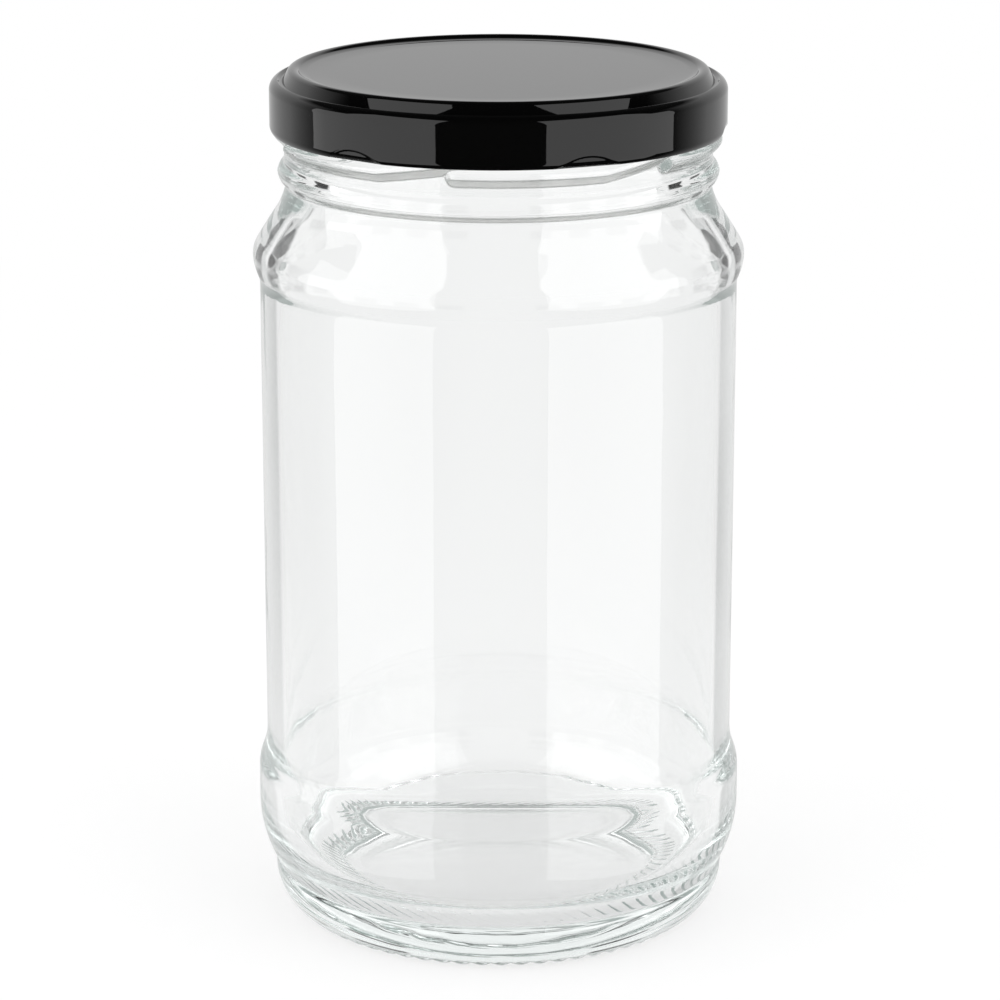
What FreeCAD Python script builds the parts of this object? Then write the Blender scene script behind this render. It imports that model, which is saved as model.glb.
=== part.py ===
"""Twist-off food jar: one glass jar and one pressed steel cap, in millimetres.

The jar stands on z = 0 with its axis on +Z. The cap rests on the sealing rim, held by lugs
that sit under the thread leads. Every size below is a cell of the Sizes sheet, and the
sketches and features are bound to those cells.
"""
import FreeCAD, Part
import math
import os
import re

import Sketcher
from FreeCAD import Placement, Rotation, Vector

# Lengths are in millimetres and angles in degrees, counter-clockwise from +X. A rise or a
# drop is a step in height from the corner before, and a proud size or an inset one in radius.
SIZES = {
    # glass body
    "jar_height": 161.3,
    "panel_radius": 44.5,
    "wall": 3.4,
    # foot: a knurled resting ring round a pushed-up underside
    "foot_inset": 4.75,
    "foot_width": 4.3,
    "foot_edge": 0.9,
    "push_up": 3.4,
    "base_flat_radius": 12.0,
    "knurl_count": 66,
    "knurl_radius": 1.1,
    "knurl_depth": 0.5,
    # floor of the inside
    "base_glass": 4.4,
    "floor_height": 6.2,
    "floor_corner": 11.5,
    "heel_bore_gain": 0.6,
    # base band and heel bead, from the foot upwards
    "band_inset": 3.0,
    "band_height": 8.0,
    "band_face": 0.8,
    "band_curve": 9.1,
    "band_step": 0.4,
    "heel_proud": 1.55,
    "heel_rise": 12.2,
    "heel_curve": 22.0,
    "heel_face": 6.0,
    "heel_turn_inset": 0.8,
    "heel_turn_rise": 3.6,
    "heel_turn_curve": 8.5,
    "heel_fade_rise": 4.4,
    "heel_fade_curve": 13.3,
    # transfer bead, neck, cone and shoulder, from the rim downwards
    "finish_radius": 39.6,
    "rim_wall": 2.7,
    "rim_curve": 1.3,
    "bead_drop": 15.9,
    "bead_height": 4.2,
    "bead_proud": 1.37,
    "neck_inset": 0.3,
    "neck_drop": 6.2,
    "neck_curve": 14.0,
    "neck_bore_drop": 0.7,
    "neck_bore_curve": 12.4,
    "cone_top_proud": 2.4,
    "cone_drop": 4.6,
    "cone_wall": 3.0,
    "cone_bore_drop": 1.4,
    "shoulder_proud": 1.15,
    "shoulder_turn_inset": 0.75,
    "shoulder_turn_drop": 2.4,
    "shoulder_turn_curve": 4.35,
    "shoulder_drop": 4.0,
    "shoulder_curve": 9.8,
    "shoulder_foot_inset": 0.85,
    "shoulder_foot_drop": 1.6,
    "shoulder_foot_curve": 3.4,
    "shoulder_bore_drop": 0.7,
    "shoulder_bore_curve": 8.0,
    # thread leads: level at the lower end, then climbing
    "thread_count": 6,
    "thread_ridge": 1.5,
    "thread_proud": 1.7,
    "thread_gap": 1.6,
    "thread_turn": 298.0,
    "thread_level_angle": 39.0,
    "thread_rise_angle": 65.0,
    "thread_end_curl": 3.0,
    "thread_end_angle": 65.0,
    # cap: steel plate, centre panel, crest over the rim, groove, shoulder, skirt and curl
    "plate": 0.2,
    "seal_gap": 0.4,
    "thread_play": 0.25,
    "panel_recess": 0.9,
    "panel_slope": 0.8,
    "crest_inset": 0.2,
    "crest_drop": 0.45,
    "crest_curve": 1.96,
    "groove_inset": 1.65,
    "groove_drop": 0.85,
    "groove_curve": 2.5,
    "skirt_drop": 2.6,
    "skirt_curve": 1.75,
    "curl_width": 1.2,
    "curl_height": 1.9,
    "curl_curve": 0.8,
    # lugs: the curl pinched flat and pressed in under the thread leads
    "lug_setback": 5.75,
    "lug_width": 12.6,
    "lug_thickness": 1.2,
    "lug_wall_play": 0.65,
    "lug_play": 0.3,
    "lug_lift": 0.5,
    "lug_pinch": 0.47,
    "lug_pinch_height": 2.4,
}

# Sizes that follow from the ones above, so that what fits together stays together.
DERIVED = {
    # radii of the glass
    "panel_bore": "panel_radius - wall",
    "heel_bore": "panel_bore + heel_bore_gain",
    "heel_radius": "panel_radius + heel_proud",
    "band_radius": "heel_radius - band_inset",
    "foot_radius": "band_radius - foot_inset",
    "foot_inner_radius": "foot_radius - foot_width",
    "shoulder_radius": "panel_radius + shoulder_proud",
    "shoulder_bore": "shoulder_radius - wall",
    "neck_radius": "finish_radius - neck_inset",
    "cone_top_radius": "finish_radius + cone_top_proud",
    "bore_radius": "finish_radius - rim_wall",
    "bead_curve": "bead_height ^ 2 / (8 * bead_proud) + bead_proud / 2",
    # heights of the glass, from the foot upwards and then from the rim downwards
    "band_top": "band_height + band_face",
    "heel_height": "band_top + heel_rise",
    "heel_top": "heel_height + heel_face",
    "heel_turn_height": "heel_top + heel_turn_rise",
    "panel_bottom": "heel_turn_height + heel_fade_rise",
    "bead_top": "jar_height - bead_drop",
    "neck_height": "bead_top - bead_height",
    "cone_top": "neck_height - neck_drop",
    "cone_bottom": "cone_top - cone_drop",
    "shoulder_height": "cone_bottom - shoulder_turn_drop",
    "shoulder_foot": "shoulder_height - shoulder_drop",
    "panel_top": "shoulder_foot - shoulder_foot_drop",
    # thread leads: the climb leaves room for a lug above one lead and below the next
    "thread_height": "bead_top + thread_gap + thread_ridge",
    "ridge_radius": "finish_radius + thread_proud - thread_ridge",
    "curl_axis": "ridge_radius - thread_end_curl",
    "lug_seat_angle": "360 / thread_count - lug_setback",
    "lug_channel": "thread_ridge * 2 + lug_lift + lug_thickness + lug_play",
    "thread_rise": "lug_channel * thread_rise_angle / (lug_seat_angle - lug_half_angle)",
    # cap
    "cap_top": "jar_height + seal_gap + plate",
    "cap_panel_height": "cap_top - panel_recess",
    "crest_height": "cap_top - crest_drop",
    "groove_height": "cap_top - groove_drop",
    "skirt_top": "cap_top - skirt_drop",
    "cap_bottom": "thread_height + thread_ridge + lug_lift - plate / 2",
    "cap_radius": "finish_radius + thread_proud + thread_play + curl_width",
    "skirt_bore": "cap_radius - plate",
    "curl_inner_radius": "cap_radius - curl_width",
    "curl_root_radius": "cap_radius - curl_width / 2",
    "groove_radius": "cap_radius - groove_inset",
    "crest_inner_radius": "bore_radius + crest_inset",
    "cap_panel_radius": "crest_inner_radius - panel_slope",
    "lug_angle": "thread_turn - lug_setback",
    "lug_half_angle": "lug_width / cap_radius * 90 / pi",
}

LEFT, RIGHT = 1, -1     # the side to which an arc turns along its section
FULL_TURN = 360.0


def make_sheet(doc):
    """The driving sizes, one row each, with the name as the alias."""
    sheet = doc.addObject("Spreadsheet::Sheet", "Sizes")
    for row, (name, value) in enumerate(SIZES.items(), start=1):
        sheet.set(f"A{row}", name)
        sheet.set(f"B{row}", str(value))
        sheet.setAlias(f"B{row}", name)
    doc.recompute()
    return sheet


def cells(formula):
    """A formula written out in the sheet's cells, with derived names replaced by theirs."""
    words = []
    for word in re.findall(r"[\w.]+|[^\w\s]", formula):
        if word in DERIVED:
            word = f"({cells(DERIVED[word])})"
        elif word in SIZES:
            word = f"Sizes.{word}"
        words.append(word)
    return " ".join(words)


def value_of(sheet, formula):
    result = sheet.evalExpression(cells(formula))
    return float(getattr(result, "Value", result))


def origin_feature(body, role):
    return next(feature for feature in body.Origin.OriginFeatures if feature.Role == role)


def bind(item, path, formula):
    item.setExpression(path, cells(formula))


# ---- sketches -------------------------------------------------------------------------

def radial_sketch(body, name, angle="0"):
    """A sketch in the half plane through +Z at an angle from the body's +X. Its x is the
    radius and its y the height."""
    sketch = body.newObject("Sketcher::SketchObject", name)
    sketch.AttachmentSupport = (origin_feature(body, "XZ_Plane"), [""])
    sketch.MapMode = "FlatFace"
    sketch.AttachmentOffset = Placement(Vector(), Rotation(Vector(0, 1, 0), 1))
    bind(sketch, ".AttachmentOffset.Rotation.Angle", angle)
    return sketch


def arc_centre(start, end, radius, turn):
    chord = end - start
    reach = math.sqrt(radius ** 2 - (chord.Length / 2) ** 2)
    normal = Vector(-chord.y, chord.x, 0).normalize()
    return (start + end) / 2 + normal * reach * turn


def add_edge(sketch, start, end, curve):
    """Adds one edge and gives its index and which of its ends are its start and its end."""
    if curve is None:
        return sketch.addGeometry(Part.LineSegment(start, end), False), 1, 2
    radius, turn = curve
    centre = arc_centre(start, end, radius, turn)
    first, last = (start, end) if turn == LEFT else (end, start)
    angles = [math.atan2(point.y - centre.y, point.x - centre.x) for point in (first, last)]
    circle = Part.Circle(centre, Vector(0, 0, 1), radius)
    index = sketch.addGeometry(Part.ArcOfCircle(circle, *angles), False)
    return (index, 1, 2) if turn == LEFT else (index, 2, 1)


def place_corner(sketch, sheet, index, end, direction, formula):
    """Ties one coordinate of an edge's end to a formula, or to the axis where it is zero."""
    if formula == "0":
        axis = -2 if direction == "DistanceX" else -1
        sketch.addConstraint(Sketcher.Constraint("PointOnObject", index, end, axis))
        return
    amount = value_of(sheet, formula)
    number = sketch.addConstraint(Sketcher.Constraint(direction, index, end, amount))
    bind(sketch, f"Constraints[{number}]", formula)


def draw_section(sketch, sheet, section):
    """Draws a closed section. Each entry is a corner's radius and height, and where an arc
    leads to it from the corner before, that arc's radius and the side it turns to."""
    corners = [Vector(*(value_of(sheet, formula) for formula in entry[:2]), 0) for entry in section]
    edges = []
    for number, entry in enumerate(section):
        curve = (value_of(sheet, entry[2]), entry[3]) if len(entry) > 2 else None
        edges.append(add_edge(sketch, corners[number - 1], corners[number], curve))
    for number, entry in enumerate(section):
        index, _, end = edges[number]
        following, begin, _ = edges[(number + 1) % len(edges)]
        sketch.addConstraint(Sketcher.Constraint("Coincident", index, end, following, begin))
        place_corner(sketch, sheet, index, end, "DistanceX", entry[0])
        place_corner(sketch, sheet, index, end, "DistanceY", entry[1])
        if len(entry) > 2:
            amount = value_of(sheet, entry[2])
            radius = sketch.addConstraint(Sketcher.Constraint("Radius", index, amount))
            bind(sketch, f"Constraints[{radius}]", entry[2])


# ---- features -------------------------------------------------------------------------

def revolve(body, name, sketch, kind="PartDesign::Revolution", axis="V_Axis", angle=None):
    """Turns a sketch about one of its own axes, all the way round unless an angle is given."""
    feature = body.newObject(kind, name)
    feature.Profile = sketch
    feature.ReferenceAxis = (sketch, [axis])
    feature.Angle = FULL_TURN
    if angle:
        bind(feature, "Angle", angle)
    return feature


def polar_pattern(body, name, originals, count):
    pattern = body.newObject("PartDesign::PolarPattern", name)
    pattern.Originals = originals
    pattern.Axis = (origin_feature(body, "Z_Axis"), [""])
    pattern.Angle = FULL_TURN
    bind(pattern, "Occurrences", count)
    body.Tip = pattern
    return pattern


# ---- glass jar ------------------------------------------------------------------------

def jar_outside():
    """Foot, base band, heel bead, panel, shoulder, cone, neck, transfer bead and rim."""
    return [
        ("0", "push_up"),
        ("base_flat_radius", "push_up"),
        ("foot_inner_radius - foot_edge", "foot_edge"),
        ("foot_inner_radius", "0"),
        ("foot_radius", "0"),
        ("band_radius", "band_height", "band_curve", LEFT),
        ("band_radius", "band_top"),
        ("band_radius - band_step", "band_top + band_step"),
        ("heel_radius", "heel_height", "heel_curve", LEFT),
        ("heel_radius", "heel_top"),
        ("heel_radius - heel_turn_inset", "heel_turn_height", "heel_turn_curve", LEFT),
        ("panel_radius", "panel_bottom", "heel_fade_curve", RIGHT),
        ("panel_radius", "panel_top"),
        ("shoulder_radius - shoulder_foot_inset", "shoulder_foot", "shoulder_foot_curve", RIGHT),
        ("shoulder_radius", "shoulder_height", "shoulder_curve", LEFT),
        ("shoulder_radius - shoulder_turn_inset", "cone_bottom", "shoulder_turn_curve", LEFT),
        ("cone_top_radius", "cone_top"),
        ("neck_radius", "neck_height", "neck_curve", RIGHT),
        ("finish_radius", "bead_top", "bead_curve", LEFT),
        ("finish_radius", "jar_height - rim_curve"),
        ("finish_radius - rim_curve", "jar_height", "rim_curve", LEFT),
        ("0", "jar_height"),
    ]


def jar_inside():
    """Floor, flat in the middle and then a low cone, heel, panel, shoulder, cone and bore,
    and the rounding of the rim. The section goes on above the rim, to cut it open."""
    return [
        ("0", "push_up + base_glass"),
        ("base_flat_radius", "push_up + base_glass"),
        ("heel_bore - floor_corner", "floor_height"),
        ("heel_bore", "floor_height + floor_corner", "floor_corner", LEFT),
        ("heel_bore", "heel_top"),
        ("panel_bore", "panel_bottom"),
        ("panel_bore", "panel_top"),
        ("shoulder_bore", "shoulder_height - shoulder_bore_drop", "shoulder_bore_curve", LEFT),
        ("shoulder_bore - shoulder_turn_inset", "cone_bottom - shoulder_bore_drop",
         "shoulder_turn_curve", LEFT),
        ("cone_top_radius - cone_wall", "cone_top - cone_bore_drop"),
        ("bore_radius", "neck_height - neck_bore_drop", "neck_bore_curve", RIGHT),
        ("bore_radius", "jar_height - rim_curve"),
        ("bore_radius + rim_curve", "jar_height", "rim_curve", RIGHT),
        ("bore_radius + rim_curve", "jar_height + rim_curve"),
        ("0", "jar_height + rim_curve"),
    ]


def ridge_sketch(body, sheet, name, angle, height):
    """The round section of a thread lead, with the upright line that its ends curl about."""
    sketch = radial_sketch(body, name, angle)
    centre = Vector(value_of(sheet, "ridge_radius"), value_of(sheet, height), 0)
    circle = Part.Circle(centre, Vector(0, 0, 1), value_of(sheet, "thread_ridge"))
    index = sketch.addGeometry(circle, False)
    place_corner(sketch, sheet, index, 3, "DistanceX", "ridge_radius")
    place_corner(sketch, sheet, index, 3, "DistanceY", height)
    radius = sketch.addConstraint(Sketcher.Constraint("Radius", index, circle.Radius))
    bind(sketch, f"Constraints[{radius}]", "thread_ridge")

    foot = Vector(value_of(sheet, "curl_axis"), 0, 0)
    line = sketch.addGeometry(Part.LineSegment(foot, Vector(foot.x, centre.y, 0)), True)
    place_corner(sketch, sheet, line, 1, "DistanceY", "0")
    for end in (1, 2):
        place_corner(sketch, sheet, line, end, "DistanceX", "curl_axis")
    place_corner(sketch, sheet, line, 2, "DistanceY", height)
    return sketch


def add_lead_end(body, sheet, name, angle, height, towards_start):
    """Curls one end of a lead round into the wall, where it dies out."""
    sketch = ridge_sketch(body, sheet, f"{name}_ridge", angle, height)
    curl = revolve(body, name, sketch, axis="Axis0", angle="thread_end_angle")
    curl.Reversed = towards_start
    return curl


def add_thread_leads(body, sheet):
    """One lead, repeated round the finish. It is level from its lower end to the body's +X
    and climbs from there. The climb is made last, because a pattern gives its copies of a
    helix the placement of the newest feature."""
    lower = add_lead_end(body, sheet, "lead_lower_end", "0 - thread_level_angle",
                         "thread_height", True)
    upper = add_lead_end(body, sheet, "lead_upper_end", "thread_rise_angle",
                         "thread_height + thread_rise", False)
    ridge = ridge_sketch(body, sheet, "lead_ridge", "0", "thread_height")
    level = revolve(body, "lead_level", ridge, angle="thread_level_angle")
    level.Reversed = True

    climb = body.newObject("PartDesign::AdditiveHelix", "lead_climb")
    climb.Profile = ridge
    climb.ReferenceAxis = (ridge, ["V_Axis"])
    climb.Mode = 0
    bind(climb, "Pitch", f"thread_rise * {FULL_TURN} / thread_rise_angle")
    bind(climb, "Height", "thread_rise")
    body.Document.recompute()
    polar_pattern(body, "thread_leads", [lower, upper, level, climb], "thread_count")


def add_knurls(body):
    """Shallow radial grooves that break the resting ring into short pads."""
    groove = body.newObject("PartDesign::SubtractiveCylinder", "knurl_groove")
    groove.AttachmentSupport = (origin_feature(body, "YZ_Plane"), [""])
    groove.MapMode = "FlatFace"
    bind(groove, "Radius", "knurl_radius")
    bind(groove, "Height", "foot_width + foot_inset + foot_edge * 2")
    bind(groove, ".AttachmentOffset.Base.y", "knurl_depth - knurl_radius")
    bind(groove, ".AttachmentOffset.Base.z", "foot_inner_radius - foot_edge * 2")
    body.Document.recompute()
    polar_pattern(body, "knurls", [groove], "knurl_count")


def make_jar(doc, sheet):
    body = doc.addObject("PartDesign::Body", "jar")
    outside = radial_sketch(body, "jar_outside")
    draw_section(outside, sheet, jar_outside())
    revolve(body, "jar_blank", outside)
    add_thread_leads(body, sheet)
    inside = radial_sketch(body, "jar_inside")
    draw_section(inside, sheet, jar_inside())
    revolve(body, "jar_cavity", inside, "PartDesign::Groove")
    add_knurls(body)
    body.Placement = Placement(Vector(), Rotation(Vector(0, 0, 1), 1))
    bind(body, ".Placement.Rotation.Angle", "thread_turn")
    return body


# ---- steel cap ------------------------------------------------------------------------

def cap_section():
    """Centre panel, crest over the rim, groove, shoulder, skirt and the curl at its edge."""
    return [
        ("0", "cap_panel_height"),
        ("0", "cap_panel_height - plate"),
        ("cap_panel_radius + plate / 2", "cap_panel_height - plate"),
        ("crest_inner_radius + plate / 2", "crest_height - plate"),
        ("finish_radius - plate / 2", "crest_height - plate", "crest_curve - plate", RIGHT),
        ("groove_radius - plate / 2", "groove_height - plate", "groove_curve", LEFT),
        ("skirt_bore", "skirt_top", "skirt_curve - plate", RIGHT),
        ("skirt_bore", "cap_bottom + curl_height + curl_curve - plate"),
        ("curl_inner_radius", "cap_bottom + curl_height - plate"),
        ("curl_inner_radius", "cap_bottom + curl_curve"),
        ("curl_root_radius", "cap_bottom", "curl_curve", LEFT),
        ("cap_radius", "cap_bottom + curl_curve", "curl_curve", LEFT),
        ("cap_radius", "skirt_top"),
        ("groove_radius", "groove_height", "skirt_curve", LEFT),
        ("finish_radius", "crest_height", "groove_curve", RIGHT),
        ("crest_inner_radius", "crest_height", "crest_curve", LEFT),
        ("cap_panel_radius", "cap_panel_height"),
    ]


def lug_section():
    """The part of a lug that reaches inwards from the curl, almost to the finish wall."""
    inner, bottom = "finish_radius + lug_wall_play", "cap_bottom + plate / 2"
    top = f"{bottom} + lug_thickness"
    return [
        (inner, bottom),
        ("curl_root_radius", bottom),
        ("curl_root_radius", top),
        (inner, top),
    ]


def pinch_section():
    """The wedge outside the flat that pinching leaves on the curl."""
    return [
        ("cap_radius - lug_pinch", "cap_bottom"),
        ("cap_radius + lug_pinch", "cap_bottom"),
        ("cap_radius", "cap_bottom + lug_pinch_height"),
    ]


def extrude(body, name, kind, sketch, length):
    """Extrudes a sketch by half a length to each side of its plane."""
    feature = body.newObject(kind, name)
    feature.Profile = sketch
    feature.SideType = "Symmetric"
    bind(feature, "Length", length)
    return feature


def make_cap(doc, sheet):
    body = doc.addObject("PartDesign::Body", "cap")
    section = radial_sketch(body, "cap_section")
    draw_section(section, sheet, cap_section())
    revolve(body, "cap_shell", section)

    lug = radial_sketch(body, "lug_section", "lug_angle")
    draw_section(lug, sheet, lug_section())
    tab = extrude(body, "lug_tab", "PartDesign::Pad", lug, "lug_width")
    pinch = radial_sketch(body, "pinch_section", "lug_angle")
    draw_section(pinch, sheet, pinch_section())
    flat = extrude(body, "lug_flat", "PartDesign::Pocket", pinch, "lug_width * 2")
    doc.recompute()
    polar_pattern(body, "lugs", [tab, flat], "thread_count")
    return body


# ---- checks and output ----------------------------------------------------------------

def check(doc, bodies):
    doc.recompute()
    failed = [item.Name for item in doc.Objects if {"Invalid", "Error"} & set(item.State)]
    if failed:
        raise RuntimeError(f"not computed: {', '.join(failed)}")
    for body in bodies:
        if body.Shape.isNull() or not body.Shape.isValid() or len(body.Shape.Solids) != 1:
            raise RuntimeError(f"{body.Label} is not one valid solid")


def main():
    doc = FreeCAD.newDocument("TwistOffJar")
    sheet = make_sheet(doc)
    bodies = [make_jar(doc, sheet), make_cap(doc, sheet)]
    check(doc, bodies)
    os.makedirs("parts", exist_ok=True)
    for body in bodies:
        body.Shape.exportStep(f"parts/{body.Label}.step")
        print(body.Label, round(body.Shape.Volume), "mm3", len(body.Shape.Faces), "faces")


main()
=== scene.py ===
"""Twist-off food jar: clear pressed glass and a black lacquered steel cap, on a pale floor.

Both pieces are lathed here at a fine pitch, in millimetres, from sizes close to those of
the CAD solids, and scaled to metres when their meshes are made.
"""

import math

import bmesh
import bpy
import numpy as np
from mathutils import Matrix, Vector


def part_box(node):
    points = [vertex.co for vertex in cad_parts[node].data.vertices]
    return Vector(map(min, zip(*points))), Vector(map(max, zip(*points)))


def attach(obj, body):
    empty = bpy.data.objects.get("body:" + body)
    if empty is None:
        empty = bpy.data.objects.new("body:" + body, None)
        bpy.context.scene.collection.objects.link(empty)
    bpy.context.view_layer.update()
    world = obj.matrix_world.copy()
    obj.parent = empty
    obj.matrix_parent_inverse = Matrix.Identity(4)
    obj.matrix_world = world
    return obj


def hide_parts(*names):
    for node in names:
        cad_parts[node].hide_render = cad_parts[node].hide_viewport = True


MM = 0.001
LEFT, RIGHT = 1, -1     # the side to which an arc turns along its section

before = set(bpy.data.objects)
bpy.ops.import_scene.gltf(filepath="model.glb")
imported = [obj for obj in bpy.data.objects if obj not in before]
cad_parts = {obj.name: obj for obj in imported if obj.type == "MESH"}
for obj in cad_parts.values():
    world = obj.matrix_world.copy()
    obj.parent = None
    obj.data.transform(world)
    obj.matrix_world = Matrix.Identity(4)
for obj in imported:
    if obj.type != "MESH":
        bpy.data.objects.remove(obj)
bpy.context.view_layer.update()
_, jar_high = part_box("jar")
cap_low, cap_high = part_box("cap")

# ---- sizes ----------------------------------------------------------------------------

JAR_TOP = jar_high.z / MM
PANEL_RADIUS = 44.38
WALL = 3.4

BEAD_TOP = JAR_TOP - 16.4
NECK = BEAD_TOP - 4.2
CONE_TOP = NECK - 6.2
CONE_BOTTOM = CONE_TOP - 4.6
SHOULDER = CONE_BOTTOM - 2.2
SHOULDER_FOOT = SHOULDER - 3.9
PANEL_TOP = SHOULDER_FOOT - 1.6
PANEL_BOTTOM = 35.0

HEEL_RADIUS = 46.0
BAND_RADIUS = HEEL_RADIUS - 3.0
FOOT_RADIUS = BAND_RADIUS - 4.75
FOOT_INNER = FOOT_RADIUS - 4.3
PUSH_UP = 3.4
PUSH_UP_CURVE = 219
FLOOR_HEIGHT = 6.8
FLOOR_CORNER = 15.0
FLOOR_RISE = 0.8
FLOOR_CURVE = 360
SHOULDER_RADIUS = 45.65
FINISH_RADIUS = 39.6
BORE_RADIUS = FINISH_RADIUS - 2.7
BORE_JOIN = JAR_TOP - 8.0
OUTSIDE_SOFTNESS = 0.45
INSIDE_SOFTNESS = 1.0

KNURLS = 66
KNURL_DEPTH = 0.6
KNURL_HEIGHT = 1.6
KNURL_SLANT = 0.22      # pitches along per millimetre of radius

LEADS = 6
LEAD_TURN = 298.0
LEAD_LEVEL = 39.0
LEAD_CLIMB = 65.0
LEAD_RISE = 7.1
LEAD_HEIGHT = BEAD_TOP + 4.0
LEAD_PROUD = 1.7
LEAD_REACH = 2.3

SEAM_HEIGHT = BEAD_TOP - 1.9
SEAM_PROUD = 0.1
SEAM_WIDTH = 0.14

CAP_TOP = cap_high.z / MM
CAP_BOTTOM = cap_low.z / MM
CAP_RADIUS = cap_high.x / MM - 0.55
PLATE = 0.2
CAP_SOFTNESS = 0.08
CAP_STEP = 0.04
LUG_ANGLE = LEAD_TURN - 5.75
LUG_PINCH = 0.45
LUG_PINCH_HEIGHT = 2.1
LUG_STEP = 0.1
LUG_STEP_RUN = 0.04

SEGMENTS = KNURLS * 10

# ---- glass ----------------------------------------------------------------------------

BOUNCES = 24
# Painted glow: past this ray depth the glass shines this pale grey-green instead of passing light
# on.
GLOW_DEPTH = 14
PAINTED_GLOW_COLOUR = (0.42, 0.45, 0.44, 1)
CLEAR_TINT = (0.965, 0.968, 0.967, 1)
# Painted shade on the glass: its outside turns to this darker tint where it is seen edge-on.
EDGE_SHADE_TINT = (0.3, 0.32, 0.31, 1)
GLASS_COLOUR = (0.88, 0.94, 0.925, 1)
GLASS_DENSITY = 7.0
# Painted shade: how far the outside darkens by how edge-on it is seen, and how that wavers along
# the wall.
WALL_EDGE_SHADE = [(0, 0), (0.64, 0), (0.665, 0.72), (1, 0.25)]
WALL_SHADE_STREAKS = [(0, 0.45), (0.4, 0.55), (0.55, 1), (1, 1)]

# ---- studio levels: stops of place and brightness ---------------------------------------

SOFTBOX_DISTANCE = 0.9
SOFTBOX_LEVEL = 1.3
# azimuth from the camera's side, positive to the right; width; lower and upper edge; shift
SOFTBOXES = {
    "softbox_left": (-57, 0.9, -0.5, 1.3, 0),
    "softbox_right": (53.5, 1.06, -0.5, 1.3, 0),
    "upper_left": (-57, 0.5, -0.09, 0.6, -0.7),
    "upper_right": (53.5, 0.28, -0.09, 0.6, 0.67),
}
FLOOR_RADIUS = 0.95
# Painted shade on the floor, seen only through the glass: greyer along the diagonals, out from
# near the middle.
PAINTED_FLOOR_SHADE = [(0, 1), (0.3, 1), (0.9, 0.85), (1, 0.85)]
PAINTED_FLOOR_SHADE_FROM = [(0, 0), (0.1, 0), (0.25, 1), (1, 1)]
FLOOR_WHITENESS = [(0, 0.72), (0.06, 0.72), (0.3, 0.95), (0.6, 1), (1, 1)]
BOARDS = [(0, 1), (0.355, 1), (0.39, 0.02), (0.635, 0.02), (0.68, 1), (0.845, 1), (0.89, 0.02),
          (1, 0.02)]

CAMERA_LENS = 140.04
CAMERA_PLACE = (0.00028, -0.70943, 0.27939)
CAMERA_DROP = 15.77     # degrees below level


# ---- sections -------------------------------------------------------------------------

def arc_points(start, end, radius, side, step):
    """Points along an arc between two corners, without the first."""
    chord = end - start
    half = np.hypot(*chord) / 2
    reach = math.sqrt(radius ** 2 - half ** 2)
    normal = np.array((-chord[1], chord[0])) / (2 * half)
    centre = (start + end) / 2 + normal * reach * side
    first = math.atan2(*(start - centre)[::-1])
    sweep = 2 * math.asin(half / radius) * side
    count = max(2, math.ceil(abs(sweep) * radius / step))
    turns = first + sweep * np.arange(1, count + 1) / count
    return centre + radius * np.column_stack((np.cos(turns), np.sin(turns)))


def dense_section(corners, step=0.1):
    """A finely divided line through corners. Each corner is a radius and a height, and
    where an arc leads to it, that arc's radius and side."""
    points = [np.array([corners[0][:2]], float)]
    for corner in corners[1:]:
        start, end = points[-1][-1], np.array(corner[:2], float)
        if len(corner) > 2:
            points.append(arc_points(start, end, corner[2], corner[3], step))
        else:
            count = max(1, math.ceil(np.hypot(*(end - start)) / step))
            points.append(start + (end - start) * np.linspace(0, 1, count + 1)[1:, None])
    return np.concatenate(points)


def soften(points, reach, step=0.1):
    """Rounds every corner of a dense line over about the given reach, as melted glass is."""
    lengths = np.concatenate(([0], np.cumsum(np.hypot(*np.diff(points, axis=0).T))))
    places = np.arange(0, lengths[-1], step)
    even = np.column_stack([np.interp(places, lengths, points[:, axis]) for axis in (0, 1)])
    span = int(3 * reach / step)
    weights = np.exp(-0.5 * (np.arange(-span, span + 1) * step / reach) ** 2)
    weights /= weights.sum()
    before = 2 * even[0] - even[span:0:-1]
    after = 2 * even[-1] - even[-2:-span - 2:-1]
    padded = np.concatenate((before, even, after))
    return np.column_stack([np.convolve(padded[:, axis], weights, "valid") for axis in (0, 1)])


def thin_out(points, longest, fine, fine_step, turn=math.radians(3.0)):
    """Keeps a dense line's points where it has turned or run far enough. Where fine says
    so, points stay at most fine_step apart."""
    kept = [points[0]]
    heading = None
    turned = 0.0
    for before, point in zip(points[:-1], points[1:-1]):
        step = point - before
        angle = math.atan2(step[1], step[0])
        if heading is not None:
            turned += abs(math.remainder(angle - heading, math.tau))
        heading = angle
        run = np.hypot(*(point - kept[-1]))
        limit = fine_step if fine(point) else longest
        if turned >= turn or run >= limit:
            kept.append(point)
            turned = 0.0
    kept.append(points[-1])
    return np.array(kept)


def lathe(name, points, relief):
    """Turns a section about +Z. The relief gives each point's step in radius and height
    from its angle. merge_poles joins the ends that lie on the axis."""
    angles = np.radians(np.arange(SEGMENTS) * 360 / SEGMENTS)
    radius = np.repeat(points[:, :1], SEGMENTS, axis=1)
    height = np.repeat(points[:, 1:], SEGMENTS, axis=1)
    step_radius, step_height = relief(radius, height, np.degrees(angles)[None, :])
    radius, height = radius + step_radius, height + step_height
    grid = np.stack((radius * np.cos(angles), radius * np.sin(angles), height), axis=-1)
    quads = []
    columns = np.arange(SEGMENTS)
    following = (columns + 1) % SEGMENTS
    for base in range(0, (len(points) - 1) * SEGMENTS, SEGMENTS):
        above = base + SEGMENTS
        quads.append(np.column_stack((base + columns, base + following,
                                      above + following, above + columns)))
    mesh = bpy.data.meshes.new(name)
    mesh.from_pydata((grid.reshape(-1, 3) * MM).tolist(), [], np.concatenate(quads).tolist())
    piece = bpy.data.objects.new(name, mesh)
    bpy.context.scene.collection.objects.link(piece)
    return piece


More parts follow.
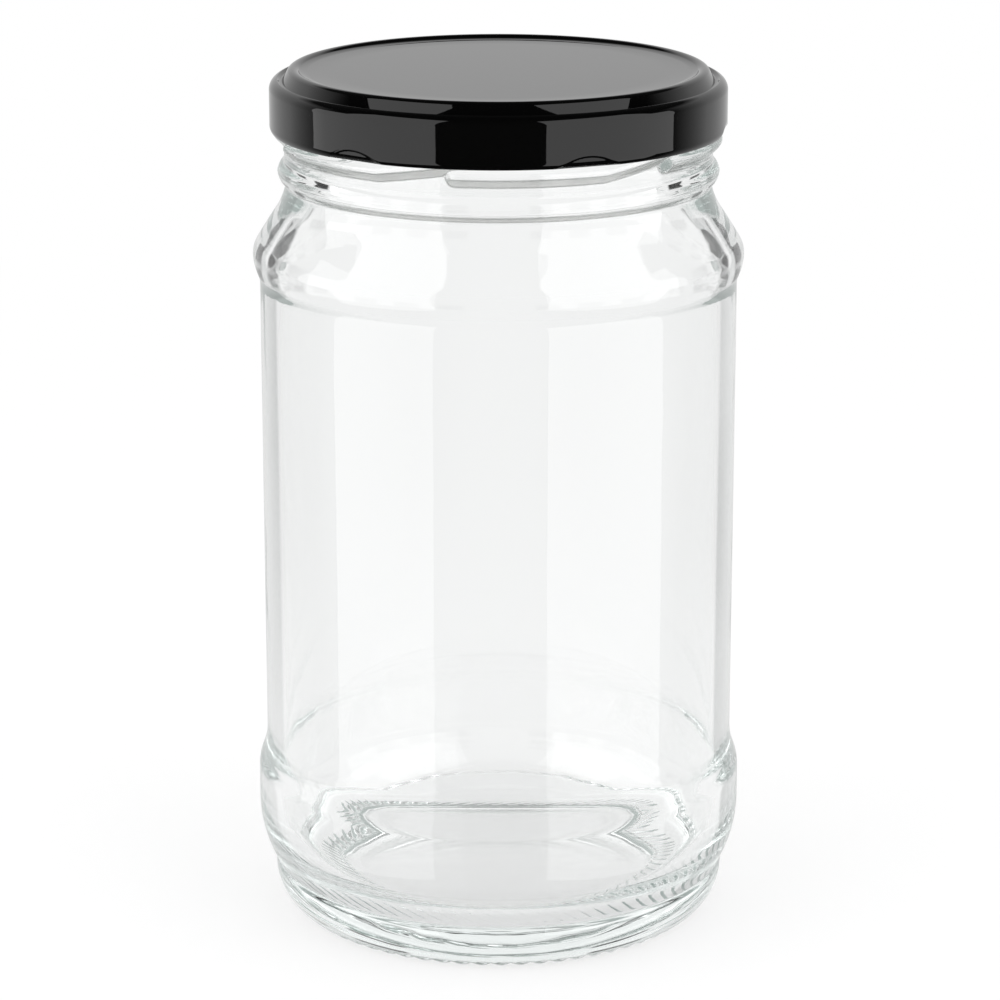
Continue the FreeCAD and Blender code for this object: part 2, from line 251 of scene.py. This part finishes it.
def merge_poles(piece):
    """Joins the points that lie on the axis, and turns every face outwards."""
    shape = bmesh.new()
    shape.from_mesh(piece.data)
    poles = [v for v in shape.verts if math.hypot(v.co.x, v.co.y) < 1e-6]
    bmesh.ops.remove_doubles(shape, verts=poles, dist=1e-7)
    bmesh.ops.recalc_face_normals(shape, faces=shape.faces)
    shape.to_mesh(piece.data)
    shape.free()
    piece.data.polygons.foreach_set("use_smooth", [True] * len(piece.data.polygons))


# ---- glass jar ------------------------------------------------------------------------

def jar_outside():
    """The underside, the outside and the rim, as far as the upper bore."""
    return [
        (0, PUSH_UP),
        (FOOT_INNER - 0.9, 0.9, PUSH_UP_CURVE, RIGHT),
        (FOOT_INNER, 0),
        (FOOT_RADIUS, 0),
        (BAND_RADIUS, 8.0, 9.1, LEFT),
        (BAND_RADIUS, 8.8),
        (BAND_RADIUS - 0.4, 9.2),
        (HEEL_RADIUS, 21.0, 22, LEFT),
        (HEEL_RADIUS, 27.0),
        (HEEL_RADIUS - 0.8, 30.6, 8.5, LEFT),
        (PANEL_RADIUS, PANEL_BOTTOM, 13.3, RIGHT),
        (PANEL_RADIUS, PANEL_TOP),
        (SHOULDER_RADIUS - 0.85, SHOULDER_FOOT, 3.4, RIGHT),
        (SHOULDER_RADIUS, SHOULDER, 9.8, LEFT),
        (SHOULDER_RADIUS - 0.75, CONE_BOTTOM, 4.35, LEFT),
        (FINISH_RADIUS + 2.4, CONE_TOP),
        (FINISH_RADIUS - 0.3, NECK, 14, RIGHT),
        (FINISH_RADIUS, BEAD_TOP, 2.3, LEFT),
        (FINISH_RADIUS, JAR_TOP - 3.2),
        (BORE_RADIUS + 0.8, JAR_TOP, 3.2, LEFT),
        (BORE_RADIUS, JAR_TOP - 0.8, 0.8, LEFT),
        (BORE_RADIUS, BORE_JOIN),
    ]


def jar_inside():
    """The bore, the inside of the body and its floor. Blown glass is smoother inside."""
    body_bore = PANEL_RADIUS - WALL
    heel_bore = HEEL_RADIUS - WALL - 0.9
    shoulder_bore = SHOULDER_RADIUS - WALL
    return [
        (BORE_RADIUS, BORE_JOIN),
        (BORE_RADIUS, NECK - 0.7),
        (FINISH_RADIUS - 0.6, CONE_TOP - 1.4, 12.4, LEFT),
        (shoulder_bore - 1.0, CONE_BOTTOM - 0.7),
        (shoulder_bore, SHOULDER - 1.0, 4.8, RIGHT),
        (body_bore, PANEL_TOP, 8, RIGHT),
        (body_bore, PANEL_BOTTOM),
        (heel_bore, 27.0),
        (heel_bore, FLOOR_HEIGHT + FLOOR_CORNER),
        (heel_bore - FLOOR_CORNER, FLOOR_HEIGHT, FLOOR_CORNER, RIGHT),
        (0, FLOOR_HEIGHT + FLOOR_RISE, FLOOR_CURVE, LEFT),
    ]


def lead_height(height, angle):
    """How far the thread leads stand out of the wall: rounded ridges with rounded ends."""
    proud = np.zeros(np.broadcast_shapes(height.shape, angle.shape))
    across = math.radians(1) * FINISH_RADIUS
    for lead in range(LEADS):
        turn = (angle - LEAD_TURN - lead * 360 / LEADS + 180) % 360 - 180
        low = np.hypot((turn - np.clip(turn, -LEAD_LEVEL, 0)) * across, height - LEAD_HEIGHT)
        along = np.clip(turn / LEAD_CLIMB, 0, 1)
        slope = LEAD_RISE / (LEAD_CLIMB * across)
        climb = (height - LEAD_HEIGHT - along * LEAD_RISE) / math.hypot(1, slope)
        high = np.hypot((turn - np.clip(turn, 0, LEAD_CLIMB)) * across, climb)
        near = np.minimum(low, high) / LEAD_REACH
        proud = np.maximum(proud, LEAD_PROUD * np.clip(1 - near ** 2, 0, None) ** 2)
    return proud


def jar_relief(radius, height, angle):
    """Thread leads and a fine mould seam on the finish, slanted knurls under the foot."""
    on_wall = (radius > FINISH_RADIUS - 0.5) & (height > BEAD_TOP - 0.5) & (height < JAR_TOP - 1.3)
    leads = np.where(on_wall, lead_height(height, angle), 0)
    on_bead = (radius > FINISH_RADIUS) & (np.abs(height - SEAM_HEIGHT) < 1)
    seam = SEAM_PROUD * np.exp(-((height - SEAM_HEIGHT) / SEAM_WIDTH) ** 2)
    proud = leads + np.where(on_bead, seam, 0)
    under = np.clip(KNURL_HEIGHT - height, 0, 1) * np.clip(radius - FOOT_INNER + 1.5, 0, 1)
    under = np.where(radius < FOOT_RADIUS + 3, under, 0)
    phase = (angle - LEAD_TURN) * KNURLS / 360 + (radius - FOOT_INNER) * KNURL_SLANT
    pads = 0.5 + 0.5 * np.cos(phase * math.tau)
    groove = KNURL_DEPTH * under * (1 - np.sqrt(pads))
    return proud, groove


def in_relief(point):
    """Where the jar's section needs close points, for its leads, seam and knurls."""
    on_finish = point[0] > FINISH_RADIUS - 0.3 and NECK < point[1] < JAR_TOP - 1.2
    return on_finish or (point[1] < 3.0 and point[0] > FOOT_INNER - 2.5)


def make_jar():
    """The jar's mesh. An attribute marks the faces of its outside."""
    outside = soften(dense_section(jar_outside()), OUTSIDE_SOFTNESS)
    inside = soften(dense_section(jar_inside()), INSIDE_SOFTNESS)
    section = np.concatenate((outside[:-1], inside))
    section[0, 0] = section[-1, 0] = 0
    section = thin_out(section, longest=3.0, fine=in_relief, fine_step=0.15)
    jar = lathe("glass_jar", section, jar_relief)
    rows = np.arange(len(section) - 1)
    before_rim = np.repeat(rows < np.argmax(section[:, 1]), SEGMENTS)
    mark = jar.data.attributes.new("outside", "FLOAT", "FACE")
    mark.data.foreach_set("value", before_rim.astype(np.float32))
    merge_poles(jar)
    return jar


# ---- cap ------------------------------------------------------------------------------

def cap_corners():
    """The pressed plate in one line, from the middle of its top round its curl to the
    middle of its underside."""
    crest = CAP_TOP - 0.45
    panel = CAP_TOP - 0.75
    groove = CAP_TOP - 2.45
    shoulder = CAP_TOP - 1.95
    skirt_top = CAP_TOP - 4.0
    crest_inner = BORE_RADIUS - 0.3
    crest_outer = BORE_RADIUS + 1.8
    panel_radius = crest_inner - 1.87
    groove_radius = CAP_RADIUS - 2.4
    curl = CAP_RADIUS - 0.8
    inner = CAP_RADIUS - PLATE
    return [
        (0, panel),
        (panel_radius, panel),
        (crest_inner, crest, 6.0, LEFT),
        (crest_outer, crest, 1.45, RIGHT),
        (groove_radius, groove),
        (groove_radius + 0.4, groove),
        (groove_radius + 0.9, shoulder),
        (CAP_RADIUS, skirt_top, 2.0, RIGHT),
        (CAP_RADIUS, CAP_BOTTOM + 1.3),
        (CAP_RADIUS - 0.4, CAP_BOTTOM, 1.8, RIGHT),
        (curl, CAP_BOTTOM + 0.8, 0.8, RIGHT),
        (curl, CAP_BOTTOM + 1.7),
        (inner, CAP_BOTTOM + 2.5),
        (inner, skirt_top),
        (groove_radius + 0.9, shoulder - PLATE, 1.8, LEFT),
        (groove_radius + 0.4, groove - PLATE),
        (groove_radius, groove - PLATE),
        (crest_outer - PLATE / 2, crest - PLATE),
        (crest_inner + PLATE / 2, crest - PLATE, 1.3, LEFT),
        (panel_radius + PLATE / 2, panel - PLATE),
        (0, panel - PLATE),
    ]


def cap_relief(radius, height, angle):
    """The flat, leaning facets that pinching the curl leaves over each lug, with a fine
    step round each."""
    turn = (angle - LUG_ANGLE + 180 / LEADS) % (360 / LEADS) - 180 / LEADS
    depth = LUG_PINCH * (1 - (height - CAP_BOTTOM) / LUG_PINCH_HEIGHT)
    sunk = np.clip(CAP_RADIUS - (CAP_RADIUS - depth) / np.cos(np.radians(turn)), 0, None)
    step = LUG_STEP * np.clip(sunk / LUG_STEP_RUN, 0, 1)
    outer = np.clip((radius - CAP_RADIUS + 0.75) / 0.3, 0, 1)
    return -outer * (sunk + step), np.zeros_like(radius)


def near_lugs(point):
    """Where the cap's section needs close points, for its pinched edge."""
    return point[0] > CAP_RADIUS - 1 and point[1] < CAP_BOTTOM + 4


def make_cap():
    """The cap's mesh. The faces of its inside take the second material."""
    section = soften(dense_section(cap_corners(), CAP_STEP), CAP_SOFTNESS, CAP_STEP)
    section[0, 0] = section[-1, 0] = 0
    section = thin_out(section, longest=6.0, fine=near_lugs, fine_step=0.12)
    cap = lathe("lacquered_cap", section, cap_relief)
    rows = np.arange(len(section) - 1)
    inside = (rows > np.argmin(section[:, 1])) & (section[:-1, 1] > CAP_BOTTOM + 0.4)
    cap.data.polygons.foreach_set("material_index", np.repeat(inside, SEGMENTS).astype(np.int32))
    merge_poles(cap)
    return cap


# ---- materials ------------------------------------------------------------------------

def new_material(name):
    material = bpy.data.materials.new(name)
    material.use_nodes = True
    nodes, links = material.node_tree.nodes, material.node_tree.links
    nodes.clear()
    return material, nodes, links


def math_node(nodes, links, operation, first, second=None):
    """A math node with its inputs set to numbers or linked to sockets."""
    node = nodes.new("ShaderNodeMath")
    node.operation = operation
    for socket, value in zip(node.inputs, (first, second)):
        if isinstance(value, (int, float)):
            socket.default_value = value
        elif value is not None:
            links.new(value, socket)
    return node.outputs[0]


def ramp(nodes, links, value, stops):
    """A grey level that runs through stops of value and level."""
    node = nodes.new("ShaderNodeValToRGB")
    elements = node.color_ramp.elements
    while len(elements) > 1:
        elements.remove(elements[-1])
    elements[0].position = stops[0][0]
    elements[0].color = (*[stops[0][1]] * 3, 1)
    for position, level in stops[1:]:
        elements.new(position).color = (*[level] * 3, 1)
    links.new(value, node.inputs[0])
    return node.outputs[0]


def quarter_turn(nodes, links, x, y):
    """How far a direction lies from the nearest of the four axes, 0 to 1 for 45 degrees."""
    turn = math_node(nodes, links, "ARCTAN2", x, y)
    return math_node(nodes, links, "DIVIDE",
                     math_node(nodes, links, "PINGPONG", turn, math.pi / 4), math.pi / 4)


def blend(nodes, links, factor, first, second):
    """Mixes two grey levels or sockets."""
    node = nodes.new("ShaderNodeMix")
    links.new(factor, node.inputs["Factor"])
    for socket, value in zip((node.inputs[2], node.inputs[3]), (first, second)):
        if isinstance(value, (int, float)):
            socket.default_value = value
        else:
            links.new(value, socket)
    return node.outputs[0]


def noise_level(nodes, links, place, scale, detail):
    node = nodes.new("ShaderNodeTexNoise")
    node.inputs["Scale"].default_value = scale
    node.inputs["Detail"].default_value = detail
    links.new(place, node.inputs["Vector"])
    return node.outputs["Fac"]


def add_bump(nodes, links, shader, height, strength, distance):
    bump = nodes.new("ShaderNodeBump")
    bump.inputs["Strength"].default_value = strength
    bump.inputs["Distance"].default_value = distance
    links.new(height, bump.inputs["Height"])
    links.new(bump.outputs["Normal"], shader.inputs["Normal"])


def glass_material():
    """Clear glass with faint waves from the mould, and painted shade: its outside is tinted greyer
    where it turns away, more in some places than others. Past many bounces inside the wall it
    glows an even pale grey-green, a painted glow in place of light carried along the wall."""
    material, nodes, links = new_material("flint_glass")
    output = nodes.new("ShaderNodeOutputMaterial")
    shader = nodes.new("ShaderNodeBsdfPrincipled")
    shader.inputs["Roughness"].default_value = 0.0
    shader.inputs["IOR"].default_value = 1.5
    shader.inputs["Transmission Weight"].default_value = 1.0
    place = nodes.new("ShaderNodeTexCoord").outputs["Object"]
    stretch = nodes.new("ShaderNodeMapping")
    stretch.inputs["Scale"].default_value = (1, 1, 0.35)
    links.new(place, stretch.inputs["Vector"])
    waves = noise_level(nodes, links, stretch.outputs["Vector"], scale=90.0, detail=2.0)
    add_bump(nodes, links, shader, waves, strength=0.25, distance=0.00025)

    # Painted shade: the outside darkens towards the edge tint where it turns away, unevenly along
    # the wall.
    facing = nodes.new("ShaderNodeLayerWeight")
    facing.inputs["Blend"].default_value = 0.5
    outside = nodes.new("ShaderNodeAttribute")
    outside.attribute_name = "outside"
    edge = ramp(nodes, links, facing.outputs["Facing"], WALL_EDGE_SHADE)
    shade_streaks = noise_level(nodes, links, place, scale=14.0, detail=1.0)
    shade_streaks = ramp(nodes, links, shade_streaks, WALL_SHADE_STREAKS)
    edge = math_node(nodes, links, "MULTIPLY", edge, shade_streaks)
    edge = math_node(nodes, links, "MULTIPLY", edge, outside.outputs["Fac"])
    tint = nodes.new("ShaderNodeMix")
    tint.data_type = "RGBA"
    tint.inputs[6].default_value = CLEAR_TINT
    tint.inputs[7].default_value = EDGE_SHADE_TINT
    links.new(edge, tint.inputs["Factor"])
    links.new(tint.outputs[2], shader.inputs["Base Color"])

    # Painted glow: deep inside its bounces the glass shines an even pale grey-green of its own.
    painted_glow = nodes.new("ShaderNodeEmission")
    painted_glow.inputs["Color"].default_value = PAINTED_GLOW_COLOUR
    path = nodes.new("ShaderNodeLightPath")
    late = math_node(nodes, links, "GREATER_THAN", path.outputs["Ray Depth"], GLOW_DEPTH)
    mix = nodes.new("ShaderNodeMixShader")
    links.new(late, mix.inputs["Fac"])
    links.new(shader.outputs["BSDF"], mix.inputs[1])
    links.new(painted_glow.outputs["Emission"], mix.inputs[2])
    absorb = nodes.new("ShaderNodeVolumeAbsorption")
    absorb.inputs["Color"].default_value = GLASS_COLOUR
    absorb.inputs["Density"].default_value = GLASS_DENSITY
    links.new(mix.outputs["Shader"], output.inputs["Surface"])
    links.new(absorb.outputs["Volume"], output.inputs["Volume"])
    return material


def coated_steel(name, colour, grain, depth, gloss):
    """A painted metal face. Its fine unevenness shows in its surface and in its gloss."""
    material, nodes, links = new_material(name)
    output = nodes.new("ShaderNodeOutputMaterial")
    shader = nodes.new("ShaderNodeBsdfPrincipled")
    shader.inputs["Base Color"].default_value = colour
    shader.inputs["IOR"].default_value = 1.5
    place = nodes.new("ShaderNodeTexCoord").outputs["Object"]
    uneven = noise_level(nodes, links, place, scale=grain, detail=3)
    add_bump(nodes, links, shader, uneven, strength=0.3, distance=depth)
    links.new(ramp(nodes, links, uneven, gloss), shader.inputs["Roughness"])
    links.new(shader.outputs["BSDF"], output.inputs["Surface"])
    return material, shader


def lacquer_material():
    black = (0.0012, 0.0012, 0.0012, 1)
    gloss = [(0.3, 0.015), (0.7, 0.035)]
    material, _ = coated_steel("black_lacquer", black, grain=400, depth=0.000006,
                               gloss=gloss)
    return material


def lining_material():
    """The light enamel inside the cap, with a faint painted glow in place of light reaching it
    through the glass.
    """
    pale = (0.8, 0.8, 0.78, 1)
    gloss = [(0.3, 0.3), (0.7, 0.4)]
    material, shader = coated_steel("light_enamel", pale, grain=600, depth=0.00001, gloss=gloss)
    # Painted glow: the enamel shines faintly of its own, standing in for light that reaches it
    # through the glass.
    shader.inputs["Emission Color"].default_value = (1, 1, 1, 1)
    shader.inputs["Emission Strength"].default_value = 0.15
    return material


def floor_material():
    """A white table. Seen directly it is white, with the soft shadow of the jar. Seen through the
    glass it carries painted shade: greyer along its four diagonals, out from near its middle."""
    material, nodes, links = new_material("pale_floor")
    output = nodes.new("ShaderNodeOutputMaterial")
    diffuse = nodes.new("ShaderNodeBsdfDiffuse")
    diffuse.inputs["Color"].default_value = (0.9, 0.9, 0.9, 1)
    white = nodes.new("ShaderNodeEmission")
    mix = nodes.new("ShaderNodeMixShader")
    path = nodes.new("ShaderNodeLightPath")
    place = nodes.new("ShaderNodeTexCoord")
    split = nodes.new("ShaderNodeSeparateXYZ")
    length = nodes.new("ShaderNodeVectorMath")
    length.operation = "LENGTH"
    links.new(place.outputs["Object"], split.inputs[0])
    links.new(place.outputs["Object"], length.inputs[0])
    away = length.outputs["Value"]
    # Painted shade for rays through the glass: the floor greys along its diagonals.
    corner = quarter_turn(nodes, links, split.outputs["X"], split.outputs["Y"])
    grey = ramp(nodes, links, corner, PAINTED_FLOOR_SHADE)
    grey = blend(nodes, links, ramp(nodes, links, away, PAINTED_FLOOR_SHADE_FROM), 1.0, grey)
    through = path.outputs["Is Transmission Ray"]
    links.new(blend(nodes, links, through, 1.0, grey), white.inputs["Color"])
    seen = math_node(nodes, links, "MAXIMUM", path.outputs["Is Camera Ray"], through)
    share = ramp(nodes, links, away, FLOOR_WHITENESS)
    links.new(math_node(nodes, links, "MULTIPLY", seen, share), mix.inputs["Fac"])
    links.new(diffuse.outputs["BSDF"], mix.inputs[1])
    links.new(white.outputs["Emission"], mix.inputs[2])
    links.new(mix.outputs["Shader"], output.inputs["Surface"])
    return material


# ---- studio ---------------------------------------------------------------------------

def make_floor():
    """A round table top, wide enough to fill the view."""
    shape = bmesh.new()
    bmesh.ops.create_circle(shape, cap_ends=True, segments=128, radius=FLOOR_RADIUS)
    mesh = bpy.data.meshes.new("floor")
    shape.to_mesh(mesh)
    shape.free()
    floor = bpy.data.objects.new("floor", mesh)
    bpy.context.scene.collection.objects.link(floor)
    floor.data.materials.append(floor_material())
    floor.visible_glossy = False


def elevation(degrees):
    """Where an elevation lies on a scale from 0, straight down, to 1, straight up."""
    return 0.5 + 0.5 * math.sin(math.radians(degrees))


THROUGH_HEIGHTS = [(0, 1), (elevation(45), 1), (elevation(55), 0.03), (1, 0.03)]
GAP_HEIGHTS = [(0, 1), (elevation(4), 1), (elevation(9), 0), (1, 0)]
GLOSS_HEIGHTS = [(0, 0.75), (elevation(28), 0.75), (elevation(36), 0.03), (1, 0.03)]
GLOSS_BACK = [(0, 0.02), (0.55, 0.02), (0.8, 1), (1, 1)]


def make_world():
    """Four white boards with dark gaps between them, low down, seen through the glass, with a dark
    ceiling above. Its gloss is pale towards the back and low down, dark elsewhere. Seen directly,
    the studio is white."""
    world = bpy.data.worlds.new("studio")
    bpy.context.scene.world = world
    world.use_nodes = True
    nodes, links = world.node_tree.nodes, world.node_tree.links
    nodes.clear()
    output = nodes.new("ShaderNodeOutputWorld")
    background = nodes.new("ShaderNodeBackground")
    place = nodes.new("ShaderNodeTexCoord")
    split = nodes.new("ShaderNodeSeparateXYZ")
    path = nodes.new("ShaderNodeLightPath")
    links.new(place.outputs["Generated"], split.inputs[0])
    x, y, z = (split.outputs[axis] for axis in "XYZ")
    height = math_node(nodes, links, "MULTIPLY", z, 0.5)
    height = math_node(nodes, links, "ADD", height, 0.5)
    corner = quarter_turn(nodes, links, x, y)
    boards = blend(nodes, links, ramp(nodes, links, height, GAP_HEIGHTS), 1.0,
                   ramp(nodes, links, corner, BOARDS))
    through = math_node(nodes, links, "MULTIPLY", boards,
                        ramp(nodes, links, height, THROUGH_HEIGHTS))
    back = math_node(nodes, links, "ADD", math_node(nodes, links, "MULTIPLY", y, 0.5), 0.5)
    gloss = math_node(nodes, links, "MULTIPLY", ramp(nodes, links, back, GLOSS_BACK),
                      ramp(nodes, links, height, GLOSS_HEIGHTS))
    level = blend(nodes, links, path.outputs["Is Glossy Ray"], 1.0, gloss)
    level = blend(nodes, links, path.outputs["Is Transmission Ray"], level, through)
    links.new(level, background.inputs["Color"])
    links.new(background.outputs["Background"], output.inputs["Surface"])


def add_softbox(name, azimuth, width, low, high, shift):
    """A soft lamp that faces the jar. The shift moves it sideways in its own plane."""
    light = bpy.data.lights.new(name, "AREA")
    light.shape = "RECTANGLE"
    light.size = width
    light.size_y = high - low
    light.energy = SOFTBOX_LEVEL * math.pi * width * (high - low)
    lamp = bpy.data.objects.new(name, light)
    turn = math.radians(azimuth - 90)
    outwards = Vector((math.cos(turn), math.sin(turn), 0))
    sideways = Vector((-outwards.y, outwards.x, 0))
    middle = Vector((0, 0, (low + high) / 2))
    lamp.location = outwards * SOFTBOX_DISTANCE + sideways * shift + middle
    lamp.rotation_euler = (-outwards).to_track_quat("-Z", "Y").to_euler()
    lamp.visible_camera = False
    bpy.context.scene.collection.objects.link(lamp)


def make_camera():
    camera = bpy.data.cameras.new("camera")
    camera.lens = CAMERA_LENS
    camera.sensor_width = 36.0
    view = bpy.data.objects.new("camera", camera)
    view.location = CAMERA_PLACE
    view.rotation_euler = (math.radians(90 - CAMERA_DROP), 0, 0)
    bpy.context.scene.collection.objects.link(view)
    bpy.context.scene.camera = view


# ---- the scene ------------------------------------------------------------------------

make_camera()
make_floor()
make_world()
for softbox, layout in SOFTBOXES.items():
    add_softbox(softbox, *layout)

jar = make_jar()
jar.data.materials.append(glass_material())
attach(jar, "root")
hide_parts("jar")

cap = make_cap()
cap.data.materials.append(lacquer_material())
cap.data.materials.append(lining_material())
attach(cap, "root")
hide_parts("cap")

bpy.context.scene.view_settings.view_transform = "Standard"
bpy.context.scene.cycles.max_bounces = BOUNCES
bpy.context.scene.cycles.glossy_bounces = BOUNCES
bpy.context.scene.cycles.transmission_bounces = BOUNCES
